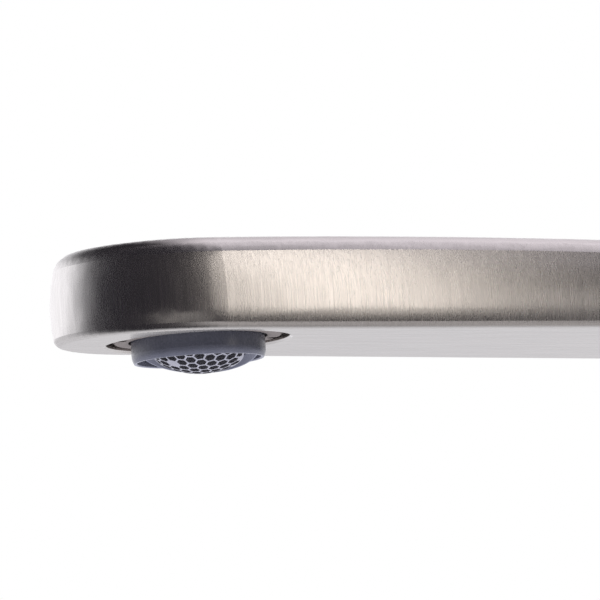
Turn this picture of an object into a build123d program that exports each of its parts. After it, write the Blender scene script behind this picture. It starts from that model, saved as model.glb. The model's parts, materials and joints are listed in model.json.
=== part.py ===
from build123d import *

import os
from math import atan2, cos, degrees, hypot, radians, sin, sqrt, tan

# Wall-mounted basin faucet: a flat blade spout with a swivel outlet and a lever valve behind one plate.
# Millimetres. The origin is on the finished wall, at the middle of the plate. X runs to the right for
# someone who faces the wall, Y into the wall and Z up.

# Layout
spout_x = -48.0
lever_x = 48.0
outlet_projection = 170.0

# Allowances of the modelling: how far a cut runs past the face it opens, and how close edges are picked
cut_past = 1.0
pick_tolerance = 0.01

# Blade of the spout
blade_underside = -6.5
blade_thickness = 13.0
blade_end_y = 0.0
nose_half_width = 15.1
nose_length = 17.7
nose_behind_outlet = -3.0
flare_angle = 3.0
widest_height = 4.5
side_crown_radius = 22.0
crest_behind_nose = 35.0
bow_change_behind_nose = 75.0
top_bow_radius = 1700.0
top_edge_radius = 3.0
bottom_edge_radius = 1.1
loft_top_height = 16.0

# Boss of the spout, and the water's way through it
boss_radius = 16.5
boss_front_y = -3.0
boss_back_gap = 0.5
socket_bottom_y = 3.0
channel_width = 22.0
channel_height = 6.0
channel_floor = 3.2
riser_length = 6.0
riser_width = 16.0
over_passage_height = 1.4
over_passage_drop = 4.0

# Outlet recess in the blade's underside
thread_radius = 12.0
thread_clearance = 0.1
recess_entry_radius = 12.5
recess_entry_depth = 1.8
recess_rim_chamfer = 0.3
recess_wall = 1.5
gasket_seat_height = 8.6
chamber_radius = 9.6
chamber_height = 10.6

# Collar of the outlet
collar_head_radius = 11.6
collar_face_height = 0.4
collar_thread_start = 2.2
collar_top_height = 7.6
collar_lip_thickness = 1.7
collar_opening_radius = 9.45
collar_edge_chamfer = 0.35
jet_seat_height = 4.7
jet_bore_radius = 11.1
key_notch_count = 4
key_notch_width = 1.6
key_notch_length = 1.5
key_notch_depth = 1.3
key_notch_heading = 78.6

# Swivel ring, its cup and the honeycomb
ring_skirt_radius = 9.1
ring_drop = 2.5
ring_bore_radius = 8.4
ring_bore_bevel = 0.12
ring_rim_radius = 8.8
ring_edge_height = 1.1
ring_flange_radius = 10.6
ring_flange_height = 2.2
running_clearance = 0.08
axial_clearance = 0.1
pivot_height = -0.3
ball_clearance = 0.1
cup_wall = 0.75
cup_lip_drop = 0.5
cup_lip_width = 0.15
cup_mouth_depth = 0.9
cup_top_rise = 2.3
trunnion_radius = 0.4
trunnion_length = 0.4
honeycomb_fit = 0.05
honeycomb_radius = 6.2
honeycomb_dome_radius = 10.85
honeycomb_drop = 3.3
honeycomb_thickness = 2.0
honeycomb_wall = 0.8
honeycomb_flange_bottom = 1.1
honeycomb_flange_thickness = 0.9
honeycomb_pitch = 1.52
honeycomb_web = 0.24
honeycomb_border = 0.25
honeycomb_field_radius = 6.1
honeycomb_turn = 32.0
gate_cell = (1, -1)
rest_tilt = 19.0
tilt_axis_heading = -132.0

# Inner parts of the outlet
jet_plate_thickness = 1.4
jet_hole_radius = 0.45
jet_ring_pitch = 2.45
jet_ring_count = 4
screen_rim_height = 1.3
screen_rim_width = 1.8
screen_rise = 2.2
screen_thickness = 0.35
screen_hole_radius = 0.5
screen_ring_pitch = 1.7
screen_ring_count = 4
holes_in_first_ring = 6
regulator_radius = 7.6
regulator_height = 1.1
regulator_core_radius = 4.2
regulator_cord_radius = 0.4
regulator_hole_count = 8
regulator_hole_radius = 0.8

# Nipple between the valve body and the spout
nipple_radius = 10.9
nipple_bore_radius = 7.0
socket_clearance = 0.1
nipple_front_y = 3.6
nipple_hex_flats = 26.0
nipple_hex_length = 6.0
nipple_thread_length = 10.0
nipple_cord_radius = 1.2
nipple_ring_spots = (6.6, 17.2)
groove_clearance = 0.05
seal_squeeze_gap = 0.03
nipple_seal_thickness = 0.8
set_screw_radius = 2.5
set_screw_y = 12.0
set_screw_length = 5.4
set_screw_point_length = 0.8
set_screw_point_radius = 1.4
set_screw_key_radius = 1.3
set_screw_key_depth = 2.2
set_screw_clearance = 0.06

# Pipe threads of the valve body
pipe_thread_radius = 10.48
pipe_thread_depth = 15.0
thread_gap = 0.06
thread_runout = 1.0

# Wall plate, its gasket and the rubber frame round the blade
plate_height = 66.0
plate_end_margin = 38.0
plate_depth = 8.0
plate_wall = 2.0
plate_edge_radius = 2.5
plate_gasket_thickness = 1.0
plate_gasket_width = 4.0
plate_gasket_inset = 0.6
blade_hole_clearance = 0.5
grommet_thickness = 2.6
grommet_width = 3.0
grommet_gap = 0.1
sleeve_hole_clearance = 0.5

# Valve body
chamber_floor_y = 24.0
chamber_front_y = -12.0
chamber_outer_radius = 21.8
chamber_bore_radius = 17.6
body_back_y = 51.0
body_half_width = 31.0
body_half_height = 16.0
outlet_block_half_width = 17.0
outlet_block_front_y = 27.0
body_edge_radius = 2.0
inlet_spacing = 32.0
inlet_boss_radius = 14.2
inlet_y = 36.0
inlet_end_z = -44.0
inlet_bore_radius = 6.5
inlet_bore_top_z = -4.5
cross_bore_radius = 3.4
cross_bore_y = 31.0
cross_bore_z = -6.0
bridge_radius = 9.0
bridge_bore_radius = 5.5
bridge_y = 42.0
bridge_z = 5.0
outlet_bore_radius = 9.5
outlet_bore_end_y = 47.0

# Bracket and its screws
bracket_thickness = 2.5
bracket_half_width = 92.0
bracket_half_height = 44.0
bracket_corner_radius = 8.0
wall_hole_half_width = 80.0
wall_hole_half_height = 35.0
wall_hole_radius = 2.75
body_screw_radius = 2.5
body_screw_head_radius = 4.6
body_screw_length = 12.0
body_screw_drive_radius = 1.5
body_screw_drive_depth = 1.4
body_screw_spots = ((23.0, 10.5), (73.0, 10.5), (-61.0, -10.5), (-35.0, -10.5))

# Cartridge
lever_pivot_y = -3.5
spindle_arm = 12.0
cartridge_radius = 17.4
cartridge_bore_radius = 16.2
base_thickness = 4.5
fixed_disc_thickness = 4.0
moving_disc_thickness = 4.0
carrier_thickness = 5.0
disc_clearance = 0.2
moving_disc_radius = 11.0
carrier_radius = 11.2
carrier_flat = 10.5
rotor_flange_thickness = 3.0
rotor_gap = 0.2
rotor_neck_radius = 10.3
rotor_neck_end_y = -11.5
rotor_slot_width = 8.4
rotor_slot_length = 15.2
rotor_rail_thickness = 3.0
rotor_rail_half_length = 7.8
rotor_cord_radius = 0.8
rotor_ring_y = -8.3
shoulder_thickness = 3.1
housing_neck_radius = 12.6
housing_neck_end_y = -9.5
port_radius = 3.2
inlet_port_x = 6.5
inlet_port_z = -5.5
outlet_port_z = 6.0
mixing_pocket_radius = 6.2
mixing_pocket_z = 3.5
mixing_pocket_depth = 2.0
port_seal_width = 1.3
port_seal_depth = 1.2
locating_peg_radius = 2.0
locating_peg_length = 3.0
locating_peg_x = 11.0
locating_peg_z = 8.0
nut_thread_radius = 19.4
nut_end_y = -9.0
nut_slot_count = 4
nut_slot_width = 4.0
nut_slot_depth = 2.5

# Spindle and pin
spindle_square = 8.0
spindle_end_y = -34.8
spindle_barrel_radius = 5.0
spindle_neck_radius = 2.0
spindle_ball_radius = 2.6
carrier_pocket_clearance = 0.25
pin_radius = 1.5
pin_half_length = 9.2
pin_clearance = 0.06
pin_press_gap = 0.02

# Sleeve with its dome, and the O-ring under it
sleeve_radius = 23.7
sleeve_wall = 1.8
sleeve_dome_wall = 1.7
dome_start_ahead = 10.4
sleeve_opening_radius = 15.0
sleeve_flange_radius = 25.0
sleeve_flange_thickness = 2.3
sleeve_cord_radius = 0.8
sleeve_plate_gap = 0.1

# Lever
hub_gap = 0.5
hub_radius = 23.2
hub_back_y = -18.2
hub_front_y = -38.6
hub_edge_radius = 3.0
hub_socket_wall = 2.2
hub_socket_clearance = 0.1
hub_socket_back_y = -19.0
lever_length = 92.0
lever_root_half_width = 11.0
lever_end_half_width = 13.5
lever_thickness = 7.5
lever_rake = 8.0
lever_blade_y = -26.5
lever_edge_radius = 2.2
lever_start_z = -8.0
lever_screw_y = -32.0
lever_screw_length = 10.0
plug_radius = 3.4
plug_depth = 2.5
plug_gap = 0.05

# Worked out from the sizes above
nose_y = -(outlet_projection - nose_behind_outlet)
tip_y = nose_y - nose_length
outlet_plane = Plane(origin=(spout_x, -outlet_projection, blade_underside))
ball_radius = ring_bore_radius - ball_clearance
cup_bore_radius = ball_radius - cup_wall
pivot_point = (spout_x, -outlet_projection, blade_underside + pivot_height)
tilt_axis = Vector(cos(radians(tilt_axis_heading)), sin(radians(tilt_axis_heading)), 0)
upright_cup = Plane(origin=pivot_point, x_dir=tilt_axis, z_dir=(0, 0, 1))
cup_upward = Vector(0, 0, 1).rotate(Axis((0, 0, 0), tilt_axis), rest_tilt)
cup_plane = Plane(origin=pivot_point, x_dir=tilt_axis, z_dir=cup_upward)
cartridge_axis = Axis((lever_x, 0, 0), (0, 1, 0))
base_front_y = chamber_floor_y - base_thickness
fixed_disc_front_y = base_front_y - fixed_disc_thickness
moving_disc_front_y = fixed_disc_front_y - moving_disc_thickness
carrier_front_y = moving_disc_front_y - carrier_thickness
rotor_flange_back_y = carrier_front_y - rotor_gap
rotor_flange_front_y = rotor_flange_back_y - rotor_flange_thickness
shoulder_back_y = rotor_flange_front_y - rotor_gap
shoulder_front_y = shoulder_back_y - shoulder_thickness
spindle_ball_y = lever_pivot_y + spindle_arm
plate_front_y = -plate_depth
plate_half_length = (lever_x - spout_x) / 2 + plate_end_margin
plate_middle_x = (lever_x + spout_x) / 2
nipple_hex_front_y = outlet_block_front_y - nipple_seal_thickness - nipple_hex_length
boss_back_y = nipple_hex_front_y - boss_back_gap
bracket_back_y = body_back_y + bracket_thickness
inlet_centres = (lever_x - inlet_spacing / 2, lever_x + inlet_spacing / 2)
port_spots = ((-inlet_port_x, inlet_port_z), (inlet_port_x, inlet_port_z), (0, outlet_port_z))
sleeve_dome_radius = hypot(sleeve_radius, dome_start_ahead)
hub_hollow_radius = sleeve_dome_radius + hub_gap

os.makedirs("parts", exist_ok=True)


def facing_wall(y):
    """Plane square to Y at a depth, with its own x along X and its own y along Z."""
    return Plane(origin=(0, y, 0), x_dir=(1, 0, 0), z_dir=(0, -1, 0))


def half_section(plane):
    """Plane through another plane's axis: its x is the distance from the axis, its y the height."""
    return Plane(origin=plane.origin, x_dir=plane.x_dir, z_dir=-plane.y_dir)


def side_section(x):
    """Half section along a Y axis: its x runs into the wall and its y is the distance from the axis."""
    return Plane(origin=(x, 0, 0), x_dir=(0, 1, 0), z_dir=(1, 0, 0))


def turned(plane, outline):
    """A solid turned about the plane's own axis from an outline of (radius, height) points."""
    with BuildPart() as solid:
        with BuildSketch(half_section(plane)):
            with BuildLine():
                Polyline(*outline, close=True)
            make_face()
        revolve(axis=Axis(plane.origin, plane.z_dir))
    return solid.part


def turned_on_y(x, outline):
    """A solid turned about a line along Y from an outline of (y, radius) points."""
    with BuildPart() as solid:
        with BuildSketch(side_section(x)):
            with BuildLine():
                Polyline(*outline, close=True)
            make_face()
        revolve(axis=Axis((x, 0, 0), (0, 1, 0)))
    return solid.part


def ring_on_y(x, y, ring_radius, cord_radius):
    """A round-cord rubber ring about a line along Y."""
    with BuildPart() as solid:
        with BuildSketch(side_section(x)):
            with Locations((y, ring_radius)):
                Circle(cord_radius)
        revolve(axis=Axis((x, 0, 0), (0, 1, 0)))
    return solid.part


def side_inset(height):
    """How far the crowned side stands in from its widest line at a height over the underside."""
    return (height - widest_height) ** 2 / (2 * side_crown_radius)


def blade_half_width(y, height):
    """Half the blade's width on its straight flanks."""
    a = nose_half_width - side_inset(height)
    b = nose_length - side_inset(height)
    turn = atan2(a, b * tan(radians(flare_angle)))
    return a * sin(turn) + (y - nose_y + b * cos(turn)) * tan(radians(flare_angle))


def blade_top(y):
    """Height of the blade's crest over its underside: bowed near the tip, hollow towards the wall."""
    from_crest = y - nose_y - crest_behind_nose
    change = bow_change_behind_nose - crest_behind_nose
    if from_crest <= change:
        return blade_thickness - from_crest**2 / (2 * top_bow_radius)
    past = 2 * change - from_crest
    return blade_thickness - change**2 / top_bow_radius + past**2 / (2 * top_bow_radius)


# Spout body
with BuildPart() as spout_body:
    for height in (0, widest_height, blade_thickness - top_edge_radius, loft_top_height):
        inset = side_inset(height)
        nose_a = nose_half_width - inset
        nose_b = nose_length - inset
        turn = degrees(atan2(nose_a, nose_b * tan(radians(flare_angle))))
        end_half_width = blade_half_width(blade_end_y, height)
        with BuildSketch(Plane.XY.offset(blade_underside + height)):
            with BuildLine():
                nose = EllipticalCenterArc(
                    (spout_x, nose_y), nose_a, nose_b, start_angle=270 - turn, arc_size=2 * turn
                )
                right_flank = Line(nose @ 1, (spout_x + end_half_width, blade_end_y))
                wall_end = Line(right_flank @ 1, (spout_x - end_half_width, blade_end_y))
                Line(wall_end @ 1, nose @ 0)
            make_face()
    loft()
    bow_change_y = nose_y + bow_change_behind_nose
    bow_start_y = tip_y - cut_past
    middle_y = (tip_y + bow_change_y) / 2
    hollow_y = (blade_end_y + bow_change_y) / 2
    with BuildSketch(Plane(origin=(spout_x, 0, blade_underside), x_dir=(0, 1, 0), z_dir=(1, 0, 0))):
        with BuildLine():
            bow = ThreePointArc(
                (bow_start_y, blade_top(bow_start_y)),
                (middle_y, blade_top(middle_y)),
                (bow_change_y, blade_top(bow_change_y)),
            )
            hollow = ThreePointArc(
                bow @ 1, (hollow_y, blade_top(hollow_y)), (blade_end_y, blade_top(blade_end_y))
            )
            Polyline(hollow @ 1, (blade_end_y, 0), (bow_start_y, 0), bow @ 0)
        make_face()
    extrude(amount=2 * nose_half_width + blade_end_y - tip_y, both=True, mode=Mode.INTERSECT)
    top_rim = spout_body.faces().sort_by(Axis.Z)[-2:].edges()
    underside_rim = spout_body.faces().filter_by(Plane.XY).sort_by(Axis.Z)[0].edges()
    outer_rim = [edge for edge in top_rim if edge.center().Y < blade_end_y - pick_tolerance]
    crest_edges = [
        edge
        for edge in outer_rim
        if hypot(edge.center().Y - bow_change_y, edge.center().X - spout_x) > pick_tolerance
    ]
    fillet(crest_edges, radius=top_edge_radius)
    lower_rim = [edge for edge in underside_rim if edge.center().Y < blade_end_y - pick_tolerance]
    fillet(lower_rim, radius=bottom_edge_radius)
    with BuildSketch(facing_wall(boss_back_y)):
        with Locations((spout_x, 0)):
            Circle(boss_radius)
    extrude(amount=boss_back_y - boss_front_y)
    # Socket for the nipple, and the flat channel to the outlet
    with BuildSketch(facing_wall(boss_back_y)):
        with Locations((spout_x, 0)):
            Circle(nipple_radius + socket_clearance)
    extrude(amount=boss_back_y - socket_bottom_y, mode=Mode.SUBTRACT)
    riser_front_y = -outlet_projection + thread_radius + thread_clearance + recess_wall
    channel_z = blade_underside + channel_floor + channel_height / 2
    with BuildSketch(facing_wall(socket_bottom_y)):
        with Locations((spout_x, channel_z)):
            SlotOverall(channel_width, channel_height)
    extrude(amount=socket_bottom_y - riser_front_y, mode=Mode.SUBTRACT)
    chamber_z = blade_underside + chamber_height
    with BuildSketch(Plane.XY.offset(chamber_z)):
        with Locations((spout_x, riser_front_y + riser_length / 2)):
            Rectangle(riser_width, riser_length)
    extrude(amount=-(chamber_height - channel_floor - channel_height / 2), mode=Mode.SUBTRACT)
    passage_end_y = -outlet_projection + over_passage_drop
    with BuildSketch(Plane.XY.offset(chamber_z)):
        with Locations((spout_x, (riser_front_y + passage_end_y) / 2)):
            Rectangle(riser_width, riser_front_y - passage_end_y + cut_past)
    extrude(amount=-over_passage_height, mode=Mode.SUBTRACT)
    # Stepped recess for the outlet
    with BuildSketch(outlet_plane):
        Circle(chamber_radius)
    extrude(amount=chamber_height, mode=Mode.SUBTRACT)
    with BuildSketch(outlet_plane):
        Circle(thread_radius + thread_clearance)
    extrude(amount=gasket_seat_height, mode=Mode.SUBTRACT)
    with BuildSketch(outlet_plane):
        Circle(recess_entry_radius)
    extrude(amount=recess_entry_depth, mode=Mode.SUBTRACT)
    with BuildSketch(outlet_plane):
        Circle(recess_entry_radius + recess_rim_chamfer)
    extrude(amount=recess_rim_chamfer, taper=45, mode=Mode.SUBTRACT)
    # Tapped hole for the set screw, from below
    with BuildSketch(Plane.XY.offset(-boss_radius - cut_past)):
        with Locations((spout_x, set_screw_y)):
            Circle(set_screw_radius + set_screw_clearance)
    extrude(amount=boss_radius + cut_past, mode=Mode.SUBTRACT)
spout_body.part.label = "spout_body"
export_step(spout_body.part, "parts/spout_body.step")

# Outlet collar
with BuildPart() as aerator_collar:
    lip_top = collar_face_height + collar_lip_thickness
    add(
        turned(
            outlet_plane,
            (
                (collar_opening_radius, collar_face_height),
                (collar_head_radius - collar_edge_chamfer, collar_face_height),
                (collar_head_radius, collar_face_height + collar_edge_chamfer),
                (collar_head_radius, collar_thread_start),
                (thread_radius, collar_thread_start),
                (thread_radius, collar_top_height),
                (jet_bore_radius, collar_top_height),
                (jet_bore_radius, jet_seat_height),
                (ring_flange_radius + running_clearance, jet_seat_height),
                (ring_flange_radius + running_clearance, lip_top),
                (collar_opening_radius, lip_top),
            ),
        )
    )
    with BuildSketch(outlet_plane.offset(collar_face_height)):
        with PolarLocations(collar_head_radius, key_notch_count, start_angle=key_notch_heading):
            SlotCenterToCenter(2 * key_notch_length - key_notch_width, key_notch_width)
    extrude(amount=key_notch_depth, mode=Mode.SUBTRACT)
aerator_collar.part.label = "aerator_collar"
export_step(aerator_collar.part, "parts/aerator_collar.step")

# Rubber washer between the collar and the spout
with BuildPart() as aerator_gasket:
    with BuildSketch(outlet_plane.offset(collar_top_height)):
        Circle(thread_radius)
        Circle(chamber_radius + running_clearance, mode=Mode.SUBTRACT)
    extrude(amount=gasket_seat_height - collar_top_height)
aerator_gasket.part.label = "aerator_gasket"
export_step(aerator_gasket.part, "parts/aerator_gasket.step")

# Ring that turns in the collar
flange_bottom = collar_face_height + collar_lip_thickness + axial_clearance
flange_top = flange_bottom + ring_flange_height
with BuildPart() as swivel_ring:
    with BuildSketch(half_section(outlet_plane)):
        with BuildLine():
            skirt = Polyline(
                (ring_bore_radius, flange_top),
                (ring_flange_radius, flange_top),
                (ring_flange_radius, flange_bottom),
                (ring_skirt_radius, flange_bottom),
                (ring_skirt_radius, ring_edge_height - ring_drop),
            )
            edge = TangentArc(skirt @ 1, (ring_rim_radius, -ring_drop), tangent=(0, -1))
            Polyline(
                edge @ 1,
                (ring_bore_radius + ring_bore_bevel, -ring_drop),
                (ring_bore_radius, ring_bore_bevel - ring_drop),
                skirt @ 0,
            )
        make_face()
    revolve(axis=Axis(outlet_plane.origin, outlet_plane.z_dir))
    trunnion_pocket = trunnion_radius + pin_clearance
    with BuildSketch(Plane(origin=pivot_point, x_dir=upright_cup.y_dir, z_dir=tilt_axis)):
        Circle(trunnion_pocket)
    extrude(amount=ball_radius + trunnion_length + axial_clearance, both=True, mode=Mode.SUBTRACT)
swivel_ring.part.label = "swivel_ring"
export_step(swivel_ring.part, "parts/swivel_ring.step")

# Cup: a slice of a ball with two trunnions, bored out, its mouth opened to a thin lip. It leans as in
# the picture, and the honeycomb with it.
cup_section = half_section(cup_plane)
cup_top_radius = sqrt(ball_radius**2 - cup_top_rise**2)
cup_lip_radius = sqrt(ball_radius**2 - cup_lip_drop**2)
cup_mouth_radius = cup_lip_radius - cup_lip_width
mouth_angle = degrees(atan2(cup_mouth_radius - cup_bore_radius, cup_mouth_depth))
with BuildPart() as outlet_ball:
    with BuildSketch(cup_section):
        with BuildLine():
            bulge = ThreePointArc(
                (cup_lip_radius, -cup_lip_drop), (ball_radius, 0), (cup_top_radius, cup_top_rise)
            )
            Polyline(bulge @ 1, (0, cup_top_rise), (0, -cup_lip_drop), bulge @ 0)
        make_face()
    revolve(axis=Axis(cup_plane.origin, cup_plane.z_dir))
    with BuildSketch(Plane(origin=pivot_point, x_dir=cup_plane.y_dir, z_dir=tilt_axis)):
        Circle(trunnion_radius)
    extrude(amount=ball_radius + trunnion_length, both=True)
    with BuildSketch(cup_plane.offset(-cup_lip_drop - cut_past)):
        Circle(cup_bore_radius)
    extrude(amount=cup_lip_drop + 2 * cut_past + cup_top_rise, mode=Mode.SUBTRACT)
    with BuildSketch(cup_plane.offset(-cup_lip_drop)):
        Circle(cup_mouth_radius)
    extrude(amount=cup_mouth_depth, taper=mouth_angle, mode=Mode.SUBTRACT)
outlet_ball.part.label = "outlet_ball"
export_step(outlet_ball.part, "parts/outlet_ball.step")

# Honeycomb: a domed grid on a side wall, with a flange that fits the cup's bore. One cell stays solid,
# where the plastic was let into the mould.
dome_centre = honeycomb_dome_radius - honeycomb_drop
inner_dome_radius = honeycomb_dome_radius - honeycomb_thickness
honeycomb_inside = honeycomb_radius - honeycomb_wall
outer_edge = dome_centre - sqrt(honeycomb_dome_radius**2 - honeycomb_radius**2)
inner_edge = dome_centre - sqrt(inner_dome_radius**2 - honeycomb_inside**2)
honeycomb_top = honeycomb_flange_bottom + honeycomb_flange_thickness
row_step = honeycomb_pitch * sqrt(3) / 2
row_count = int(honeycomb_field_radius / row_step)
cells = [
    (column, row)
    for row in range(-row_count, row_count + 1)
    for column in range(-row_count - 2, row_count + 3)
    if (column, row) != gate_cell
]
cell_centres = [
    ((column + (1 + row % 2) / 2) * honeycomb_pitch, row * row_step)
    for column, row in cells
    if hypot((column + (1 + row % 2) / 2) * honeycomb_pitch, row * row_step) < honeycomb_field_radius
]
cell_radius = (honeycomb_pitch - honeycomb_web) / sqrt(3)
cell_rows = tilt_axis.rotate(Axis((0, 0, 0), cup_upward), honeycomb_turn)
cell_plane = Plane(origin=pivot_point, x_dir=cell_rows, z_dir=cup_upward)
with BuildPart() as honeycomb:
    with BuildSketch(cup_section):
        with BuildLine():
            outer_dome = RadiusArc(
                (0, -honeycomb_drop), (honeycomb_radius, outer_edge), -honeycomb_dome_radius
            )
            wall = Polyline(
                outer_dome @ 1,
                (honeycomb_radius, honeycomb_flange_bottom),
                (cup_bore_radius - honeycomb_fit, honeycomb_flange_bottom),
                (cup_bore_radius - honeycomb_fit, honeycomb_top),
                (honeycomb_inside, honeycomb_top),
                (honeycomb_inside, inner_edge),
            )
            inner_dome = RadiusArc(
                wall @ 1, (0, honeycomb_thickness - honeycomb_drop), inner_dome_radius
            )
            Line(inner_dome @ 1, outer_dome @ 0)
        make_face()
    revolve(axis=Axis(cup_plane.origin, cup_plane.z_dir))
    with BuildSketch(cell_plane.offset(-honeycomb_drop - cut_past)):
        with Locations(*cell_centres):
            RegularPolygon(cell_radius, 6, rotation=30)
        Circle(honeycomb_radius - honeycomb_border, mode=Mode.INTERSECT)
    extrude(amount=honeycomb_drop + 2 * cut_past + honeycomb_top, mode=Mode.SUBTRACT)
honeycomb.part.label = "honeycomb"
export_step(honeycomb.part, "parts/honeycomb.step")

# Drilled plate that breaks the stream into jets
jet_plate_radius = jet_bore_radius - running_clearance
with BuildPart() as jet_plate:
    with BuildSketch(outlet_plane.offset(jet_seat_height)):
        Circle(jet_plate_radius)
        for ring in range(1, jet_ring_count + 1):
            with PolarLocations(ring * jet_ring_pitch, ring * holes_in_first_ring):
                Circle(jet_hole_radius, mode=Mode.SUBTRACT)
    extrude(amount=jet_plate_thickness)
jet_plate.part.label = "jet_plate"
export_step(jet_plate.part, "parts/jet_plate.step")

# Flow regulator and the ring that closes its gap
jet_plate_top = jet_seat_height + jet_plate_thickness
with BuildPart() as flow_regulator:
    with BuildSketch(outlet_plane.offset(jet_plate_top)):
        Circle(regulator_radius)
        with PolarLocations(regulator_core_radius + 2 * regulator_cord_radius, regulator_hole_count):
            Circle(regulator_hole_radius, mode=Mode.SUBTRACT)
    extrude(amount=regulator_height)
    with BuildSketch(outlet_plane.offset(jet_plate_top + regulator_height)):
        Circle(regulator_core_radius - regulator_cord_radius)
    extrude(amount=2 * regulator_cord_radius)
flow_regulator.part.label = "flow_regulator"
export_step(flow_regulator.part, "parts/flow_regulator.step")

regulator_ring_height = jet_plate_top + regulator_height + regulator_cord_radius
with BuildPart() as regulator_o_ring:
    with BuildSketch(half_section(outlet_plane)):
        with Locations((regulator_core_radius + seal_squeeze_gap, regulator_ring_height)):
            Circle(regulator_cord_radius)
    revolve(axis=Axis(outlet_plane.origin, outlet_plane.z_dir))
regulator_o_ring.part.label = "regulator_o_ring"
export_step(regulator_o_ring.part, "parts/regulator_o_ring.step")

# Domed strainer over the regulator
screen_rim_top = jet_plate_top + screen_rim_height
screen_base_radius = chamber_radius - running_clearance
screen_dome_radius = (screen_base_radius**2 + screen_rise**2) / (2 * screen_rise)
screen_inner_radius = screen_dome_radius - screen_thickness
screen_rim_inside = jet_plate_radius - screen_rim_width
dome_top = screen_rim_top + screen_rise
under_end = dome_top - screen_dome_radius + sqrt(screen_inner_radius**2 - screen_rim_inside**2)
with BuildPart() as inlet_screen:
    with BuildSketch(half_section(outlet_plane)):
        with BuildLine():
            rim = Polyline(
                (screen_rim_inside, jet_plate_top),
                (jet_plate_radius, jet_plate_top),
                (jet_plate_radius, screen_rim_top),
                (screen_base_radius, screen_rim_top),
            )
            over = RadiusArc(rim @ 1, (0, dome_top), -screen_dome_radius)
            crown = Line(over @ 1, (0, dome_top - screen_thickness))
            under = RadiusArc(crown @ 1, (screen_rim_inside, under_end), screen_inner_radius)
            Line(under @ 1, rim @ 0)
        make_face()
    revolve(axis=Axis(outlet_plane.origin, outlet_plane.z_dir))
    with BuildSketch(outlet_plane.offset(screen_rim_top)):
        for ring in range(1, screen_ring_count + 1):
            with PolarLocations(ring * screen_ring_pitch, ring * holes_in_first_ring):
                Circle(screen_hole_radius)
    extrude(amount=screen_rise + cut_past, mode=Mode.SUBTRACT)
inlet_screen.part.label = "inlet_screen"
export_step(inlet_screen.part, "parts/inlet_screen.step")

# Set screw under the boss of the spout
screw_top_z = -(nipple_radius + socket_clearance) - seal_squeeze_gap
with BuildPart() as spout_set_screw:
    screw_plane = Plane(origin=(spout_x, set_screw_y, screw_top_z - set_screw_length))
    with BuildSketch(screw_plane):
        Circle(set_screw_radius)
    extrude(amount=set_screw_length)
    with BuildSketch(screw_plane.offset(set_screw_length)):
        Circle(set_screw_point_radius)
    extrude(amount=set_screw_point_length)
    with BuildSketch(screw_plane):
        RegularPolygon(set_screw_key_radius, 6)
    extrude(amount=set_screw_key_depth, mode=Mode.SUBTRACT)
spout_set_screw.part.label = "spout_set_screw"
export_step(spout_set_screw.part, "parts/spout_set_screw.step")

# Nipple that carries the spout and brings it the water
nipple_ring_radius = nipple_radius + socket_clearance - seal_squeeze_gap - nipple_cord_radius
nipple_groove_half = nipple_cord_radius + groove_clearance
nipple_groove_radius = nipple_ring_radius - nipple_cord_radius - seal_squeeze_gap
screw_groove_radius = -screw_top_z - set_screw_point_length - groove_clearance
nipple_end_y = outlet_block_front_y + nipple_thread_length
with BuildPart() as outlet_nipple:
    add(
        turned_on_y(
            spout_x,
            (
                (nipple_front_y, nipple_bore_radius),
                (nipple_end_y, nipple_bore_radius),
                (nipple_end_y, pipe_thread_radius - thread_gap),
                (nipple_hex_front_y, pipe_thread_radius - thread_gap),
                (nipple_hex_front_y, nipple_radius),
                (nipple_front_y, nipple_radius),
            ),
        )
    )
    with BuildSketch(facing_wall(nipple_hex_front_y + nipple_hex_length)):
        with Locations((spout_x, 0)):
            RegularPolygon(nipple_hex_flats / sqrt(3), 6)
            Circle(nipple_bore_radius, mode=Mode.SUBTRACT)
    extrude(amount=nipple_hex_length)
    for ring_y in nipple_ring_spots:
        with BuildSketch(facing_wall(ring_y + nipple_groove_half)):
            with Locations((spout_x, 0)):
                Circle(nipple_radius + cut_past)
                Circle(nipple_groove_radius, mode=Mode.SUBTRACT)
        extrude(amount=2 * nipple_groove_half, mode=Mode.SUBTRACT)
    with BuildSketch(facing_wall(set_screw_y + set_screw_point_radius + groove_clearance)):
        with Locations((spout_x, 0)):
            Circle(nipple_radius + cut_past)
            Circle(screw_groove_radius, mode=Mode.SUBTRACT)
    extrude(amount=2 * (set_screw_point_radius + groove_clearance), mode=Mode.SUBTRACT)
outlet_nipple.part.label = "outlet_nipple"
export_step(outlet_nipple.part, "parts/outlet_nipple.step")

with BuildPart() as nipple_o_rings:
    for ring_y in nipple_ring_spots:
        add(ring_on_y(spout_x, ring_y, nipple_ring_radius, nipple_cord_radius))
nipple_o_rings.part.label = "nipple_o_rings"
export_step(nipple_o_rings.part, "parts/nipple_o_rings.step")

with BuildPart() as nipple_seal:
    with BuildSketch(facing_wall(outlet_block_front_y)):
        with Locations((spout_x, 0)):
            Circle(nipple_hex_flats / 2)
            Circle(pipe_thread_radius, mode=Mode.SUBTRACT)
    extrude(amount=nipple_seal_thickness)
nipple_seal.part.label = "nipple_seal"
export_step(nipple_seal.part, "parts/nipple_seal.step")

# Wall plate: a hollow stadium with a hole for the blade and one for the valve
grommet_front_y = plate_front_y + plate_wall
grommet_back_y = grommet_front_y + grommet_thickness


def blade_opening(gap):
    """Outline that stands off the blade's section by a gap, about the middle of its height."""
    height = blade_top(grommet_back_y)
    half_width = blade_half_width(grommet_back_y, widest_height)
    with BuildSketch() as opening:
        Rectangle(2 * (half_width + gap), height + 2 * gap)
        corners = opening.vertices().group_by(Axis.Y)
        fillet(corners[-1], radius=top_edge_radius + gap)
        fillet(corners[0], radius=bottom_edge_radius + gap)
    return opening.sketch


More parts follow.
